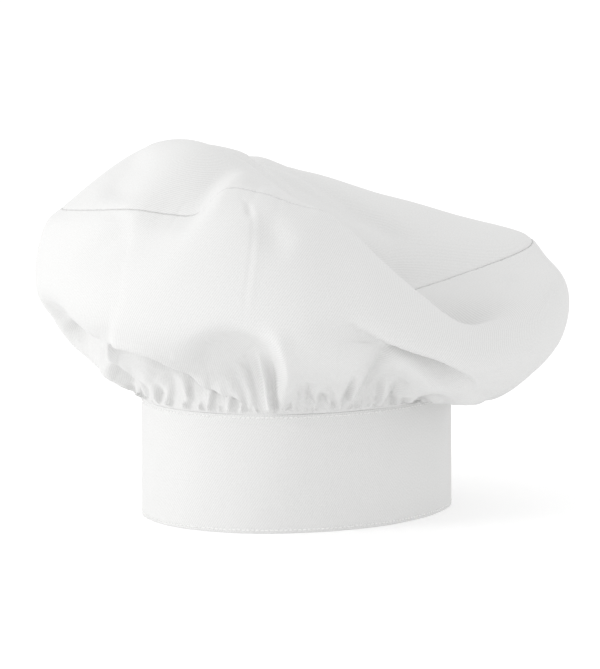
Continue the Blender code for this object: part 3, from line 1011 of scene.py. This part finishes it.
TOP_ROW = 69.2 * MM
BOTTOM_ROW = 2.0 * MM
LINING_RISE = 1.0 * MM  # the lining and the stiffener stop this far above the rim
CLOTH_EDGE = 0.45 * MM  # rounding of a strip's edges: folded cloth,
LINING_EDGE = 0.2 * MM  # lining,
CUT_EDGE = 0.1 * MM  # and a cut edge
ROW_LIFT = 0.05 * MM  # the band's rows of stitches stand this much further out
LABEL_SPAN = (172.0, 190.0)
LABEL_HEIGHTS = (16 * MM, 44 * MM)
LABEL_CLOTH = 0.25 * MM
HOOK_SPAN = (86.0, 109.0)
LOOP_SPAN = (74.0, 109.0)
FASTENER = (18 * MM, 52 * MM)  # lower and upper edges of the two tapes
FASTENER_CLOTH = 1.0 * MM  # thickness of a tape with its hooks or loops
TAPE_CLOTH = 0.45 * MM  # and without
TAB_HEIGHTS = (1.0 * MM, 69.5 * MM)
TAB_STIFFENER = 0.5 * MM
STITCH_TURN = 1.4  # from an edge to its stitches, as a change of bearing
STITCH_INSET = 2.5 * MM  # and as a distance
STITCH_PITCH = 2.8 * MM
STITCH_LENGTH = 2.2 * MM
STITCH_RADIUS = 0.48 * MM
STITCH_DEPTH = 0.24 * MM  # a stitch's ends lie this deep in the cloth
THREAD_LIFT = 0.1 * MM  # and its middle this much higher


def span(first, last, per_degree):
    """Even bearings from first to last, so many to a degree."""
    return np.linspace(first, last, max(4, int(round((last - first) * per_degree)) + 1))


def edge_profile(bottom, top, rounding, rows):
    """(inwards, height) up a strip whose two long edges are rounded off."""
    r = rounding
    middle = [(0.0, height) for height in np.linspace(bottom + r, top - r, rows)]
    return [(r, bottom), (0.3 * r, bottom + 0.3 * r)] + middle + [(0.3 * r, top - 0.3 * r), (r, top)]


def strip_grid(bearings, profile, inset, dips=True, wave=None):
    """A strip that follows the band, as rows of points from its lower to its upper edge."""
    rows = []
    for inwards, height in profile:
        depth = inset + inwards + (dip(bearings) if dips else 0.0)
        if wave:
            depth = depth + wave(bearings, height)
        rows.append(oval(bearings, depth, height))
    return np.array(rows)


def strip_piece(name, cad_node, grid, thickness, material, body="hat"):
    """A strip of cloth laid on another."""
    rows, columns = grid.shape[:2]
    piece = mesh_object(name, grid.reshape(-1, 3), grid_faces(rows, columns, False), cloth_uv(grid))
    thicken(piece, thickness)
    dress(piece, material, body, cad_node)
    return piece


def stitch_row(name, cad_node, path, out, body="hat"):
    """Single stitches laid end to end along a path on the cloth."""
    steps = way_along(path)
    count = int(steps[-1] / STITCH_PITCH)
    starts = (np.arange(count) + 0.1) * steps[-1] / count
    u = np.linspace(0, 1, 7)
    at = starts[:, None] + u * STITCH_LENGTH
    places = np.stack([np.interp(at, steps, path[:, i]) for i in range(3)], -1)
    outward = unit(np.stack([np.interp(at, steps, out[:, i]) for i in range(3)], -1))
    lift = THREAD_LIFT * (1 - (2 * u - 1) ** 4) - STITCH_DEPTH
    radii = STITCH_RADIUS * (1 - 0.45 * np.abs(2 * u - 1) ** 3)
    piece = tube_mesh(name, places + lift[:, None] * outward, outward, radii)
    dress(piece, THREAD, body, cad_node)
    return piece


def oval_out(bearings):
    """Directions straight out of the band's face."""
    return unit(oval(bearings, -MM, 0.0) - oval(bearings, 0.0, 0.0))


def box_path(ends, turn, heights, inset, dips):
    """A closed path round a curved rectangle, turn degrees outside its ends and inset inside its
    lower and upper edges, and its outward directions."""
    low, high = ends[0] - turn, ends[1] + turn
    bottom, top = heights[0] + inset, heights[1] - inset
    around = span(low, high, 2)
    up = np.linspace(bottom, top, 24)
    bearings = np.concatenate([around, np.full(24, high), around[::-1], np.full(24, low)])
    path_heights = np.concatenate([np.full(len(around), bottom), up, np.full(len(around), top), up[::-1]])
    depth = dip(bearings) if dips else 0.0
    return oval(bearings, depth, path_heights), oval_out(bearings)


def band_wave(bearings, height):
    """The band's slight unevenness, and the dents along its two rows of stitches."""
    angle = np.radians(bearings)
    free = step((DIP_START - bearings) / 4) + step((bearings - DIP_START) / 8)
    free = free * step((360 + BAND_START - bearings) / 6)
    slow = 0.22 * np.sin(7 * angle + 40 * height) + 0.16 * np.sin(13 * angle + 1.1 - 60 * height)
    dents = sum(0.08 * math.exp(-((height - row) / (1.1 * MM)) ** 2) for row in (TOP_ROW, BOTTOM_ROW))
    pull = dents * (1 + 0.5 * np.sin(2 * math.pi * angle * HEAD_LONG / (2 * STITCH_PITCH)))
    return (0.3 + slow * 0.9 + pull) * MM * free


def label_wave(bearings, height):
    """The label's slight waviness."""
    return 0.12 * MM * np.sin(bearings * 0.9 + height * 200)


def make_band():
    """Outer cloth, stiffener and lining of the band, its two rows of stitches, and the label."""
    bearings = span(BAND_START, 360 + BAND_START, 2)
    bearings = np.unique(np.concatenate([[UNDERLAP_END], bearings[bearings > UNDERLAP_END]]))
    grid = strip_grid(bearings, edge_profile(0.0, BAND_HEIGHT, CLOTH_EDGE, 44), 0.0, wave=band_wave)
    strip_piece("band_cloth", "band_outer", grid, BAND_CLOTH, TWILL)
    inner = span(UNDERLAP_END, 360 + LINING_START, 1.5)
    profile = edge_profile(LINING_RISE, TUCK_BOTTOM - 2 * MM, LINING_EDGE, 8)
    grid = strip_grid(inner, profile, BAND_CLOTH + GAP)
    strip_piece("band_stiffener", "band_interfacing", grid, STIFFENER, FELT)
    profile = edge_profile(LINING_RISE, BAND_HEIGHT - LINING_RISE, LINING_EDGE, 20)
    grid = strip_grid(inner, profile, LINING_INSET)
    strip_piece("band_inner_cloth", "band_lining", grid, LINING_CLOTH, LINING)
    rows = span(UNDERLAP_END + STITCH_TURN, 360 + BAND_START - STITCH_TURN, 3)
    for name, height in (("top", TOP_ROW), ("bottom", BOTTOM_ROW)):
        path = oval(rows, dip(rows) + band_wave(rows, height) - ROW_LIFT, height)
        stitch_row(f"band_{name}_stitches", f"band_{name}_stitching", path, oval_out(rows))
    grid = strip_grid(span(*LABEL_SPAN, 3), edge_profile(*LABEL_HEIGHTS, CUT_EDGE, 16),
                      LINING_INSET + LINING_CLOTH + GAP, wave=label_wave)
    strip_piece("blank_label", "care_label", grid, LABEL_CLOTH, LABEL)


# What the two tapes carry: how far each hook or loop strays from its place, the least height of
# one, how far it turns over, how wide, and the radius of its thread
HOOKS = dict(strays=0.05, least=0.97, turn=1.35 * math.pi, width=0.2 * MM, radius=0.11 * MM)
LOOPS = dict(strays=0.35, least=0.75, turn=math.pi, width=0.42 * MM, radius=0.07 * MM)
PILE_PITCH = 1.25 * MM
PILE_SUNK = 0.05 * MM  # a hook's or loop's foot is this deep in the tape


def pile_leans(rng, out, loops):
    """Which way each one bends over: hooks up, and loops any way on the tape."""
    if not loops:
        return np.tile(UP, (len(out), 1))
    aside = np.stack([-out[:, 1], out[:, 0], np.zeros(len(out))], -1)
    return unit(aside * rng.uniform(-1, 1, (len(out), 1)) + UP * rng.uniform(-1, 1, (len(out), 1)))


def pile_strip(name, cad_node, ends, inset, loops, material, body, seed):
    """A tape with hooks on its inner side, or one with loops on its outer side, which follows the
    dip of the band."""
    rng = np.random.default_rng(seed)
    kind, side = (LOOPS, -1) if loops else (HOOKS, 1)
    base_inset = inset - FASTENER_CLOTH + TAPE_CLOTH if loops else inset
    width = math.radians(ends[1] - ends[0]) * HEAD_LONG * 0.97
    places = np.linspace(ends[0] + 0.9, ends[1] - 0.9, int(width / PILE_PITCH))
    heights = np.arange(FASTENER[0] + 1.6 * MM, FASTENER[1] - 1.4 * MM, PILE_PITCH)
    b, z = [v.ravel() for v in np.meshgrid(places, heights)]
    b = b + rng.uniform(-kind["strays"], kind["strays"], len(b))
    z = z + rng.uniform(-kind["strays"], kind["strays"], len(z)) * MM
    tall = (FASTENER_CLOTH - TAPE_CLOTH - 0.1 * MM) * rng.uniform(kind["least"], 1.0, len(b))
    out = oval_out(b)
    root = oval(b, base_inset + (0.0 if loops else TAPE_CLOTH) + (dip(b) if loops else 0.0), z)
    lean = pile_leans(rng, out, loops)
    turn = np.linspace(0, kind["turn"], 6)
    rise = np.sin(turn)
    if not loops:
        bent = turn - math.pi / 2
        rise = np.minimum(1, np.sin(np.minimum(turn, math.pi / 2)) - 0.25 * np.maximum(bent, 0))
    path = root[:, None] - side * out[:, None] * (rise * tall[:, None] - PILE_SUNK)[..., None] \
        + lean[:, None] * ((1 - np.cos(turn)) * kind["width"])[:, None]
    sideways = np.cross(lean, out)[:, None] * np.ones((1, 6, 1))
    pile = tube_mesh(f"{name}_pile", path, sideways, kind["radius"], 4)
    dress(pile, material, body)
    grid = strip_grid(span(*ends, 2), edge_profile(*FASTENER, CUT_EDGE, 12), base_inset, loops)
    strip_piece(name, cad_node, grid, TAPE_CLOTH, material, body)


def make_tab():
    """The closing tab's three layers and stitches, and its hook tape."""
    bottom, top = TAB_HEIGHTS
    layers = [
        ("tab_cloth", "tab_outer", 0.0, CLOTH_EDGE, 40, BAND_CLOTH, TWILL, "twill", "tab_interfacing"),
        ("tab_stiffener", "tab_interfacing", 1 * MM, CUT_EDGE, 8, TAB_STIFFENER, FELT, "interfacing",
         "tab_outer"),
        ("tab_inner_cloth", "tab_lining", 0.0, LINING_EDGE, 20, LINING_CLOTH, LINING, "lining",
         "tab_interfacing"),
    ]
    inset = 0.0
    soft = []
    for name, cad_node, margin, edge, rows, thickness, material, slot, lies_on in layers:
        profile = edge_profile(bottom + margin, top - margin, edge, rows)
        grid = strip_grid(span(TAB_EDGE, TAB_TIP, 3), profile, inset, False)
        soft.append(strip_piece(name, cad_node, grid, thickness, material, None))
        inset += thickness + GAP
    pile_strip("hook_tape", "hook_strip", HOOK_SPAN, inset, False, HOOK_TAPE,
               "closure_tab", seed=3)
    path, out = box_path((TAB_ROOT, TAB_TIP), -STITCH_TURN, TAB_HEIGHTS, STITCH_INSET, False)
    soft.append(stitch_row("tab_edge_stitches", "tab_edge_stitching", path, out, None))
    path, out = box_path(HOOK_SPAN, STITCH_TURN, FASTENER, -STITCH_INSET, False)
    stitch_row("hook_tape_stitches", "hook_stitching", path, out, "closure_tab")
    for piece in soft:
        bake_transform(piece)


def make_loop_tape():
    """The loop tape on the band's underlap, and its stitches."""
    pile_strip("loop_tape", "loop_strip", LOOP_SPAN, -GAP - TAPE_CLOTH, True, LOOP_TAPE,
               "hat", seed=4)
    path, out = box_path(LOOP_SPAN, STITCH_TURN, FASTENER, -STITCH_INSET, True)
    stitch_row("loop_tape_stitches", "loop_stitching", path, out)


# ---- stage

FLOOR_RADIUS = 6.0
FLOOR_GLOW = 0.30  # keeps the floor as white as the photograph's ground
KEY = dict(bearing=FACE - 70, elevation=18, distance=2.6, size=1.0, power=18)
LIT_POINT = 0.12 * UP
AROUND = 1.04  # brightness of the even light from all round,
BACKDROP = 1.05  # and of the white backdrop
CAMERA_DISTANCE = 3.5
VIEW_HEIGHT = 0.4047
AIM = ACROSS * 1.5 * MM + UP * 105.4 * MM


def make_floor():
    """A plain pale floor."""
    bpy.ops.mesh.primitive_circle_add(vertices=96, radius=FLOOR_RADIUS, fill_type="NGON")
    floor = bpy.context.object
    floor.name = "floor"
    material, shader = new_material("floor", (0.75, 0.75, 0.75), 0.9)
    shader.inputs["Emission Color"].default_value = (1, 1, 1, 1)
    shader.inputs["Emission Strength"].default_value = FLOOR_GLOW
    floor.data.materials.append(material)


def make_light(name, bearing, elevation, distance, size, power):
    """A soft lamp at a bearing and elevation, aimed at the middle of the hat."""
    light = bpy.data.lights.new(name, "AREA")
    light.size = size
    light.energy = power
    lamp = bpy.data.objects.new(name, light)
    bpy.context.scene.collection.objects.link(lamp)
    rise = math.radians(elevation)
    out = bearing_vector(bearing) * math.cos(rise) + UP * math.sin(rise)
    lamp.location = out * distance + LIT_POINT
    lamp.rotation_mode = "QUATERNION"
    lamp.rotation_quaternion = Vector(out).to_track_quat("Z", "Y")


def make_world():
    """Even light from all round, in front of a white backdrop."""
    world = bpy.data.worlds.new("studio")
    bpy.context.scene.world = world
    world.use_nodes = True
    tree = world.node_tree
    shade = tree.nodes["Background"]
    shade.inputs["Color"].default_value = (1, 1, 1, 1)
    shade.inputs["Strength"].default_value = AROUND
    seen = node(tree, "ShaderNodeBackground", Color=(1, 1, 1, 1), Strength=BACKDROP)
    path = tree.nodes.new("ShaderNodeLightPath")
    mix = tree.nodes.new("ShaderNodeMixShader")
    tree.links.new(path.outputs["Is Camera Ray"], mix.inputs["Fac"])
    tree.links.new(shade.outputs["Background"], mix.inputs[1])
    tree.links.new(seen.outputs["Background"], mix.inputs[2])
    tree.links.new(mix.outputs["Shader"], tree.nodes["World Output"].inputs["Surface"])


def make_camera():
    """A camera at the photograph's angle, far enough away for its flat perspective."""
    data = bpy.data.cameras.new("camera")
    camera = bpy.data.objects.new("camera", data)
    bpy.context.scene.collection.objects.link(camera)
    camera.location = AIM + CAMERA_DISTANCE * (TOWARDS * math.cos(TILT) + UP * math.sin(TILT))
    camera.rotation_euler = (math.pi / 2 - TILT, 0, math.radians(LEAN))
    data.lens = data.sensor_width * CAMERA_DISTANCE / VIEW_HEIGHT
    data.clip_end = 30
    bpy.context.scene.camera = camera


make_world()
make_camera()
make_floor()
make_light("key", **KEY)
bpy.context.scene.view_settings.view_transform = "Standard"
make_crown()
make_band()
make_tab()
make_loop_tape()
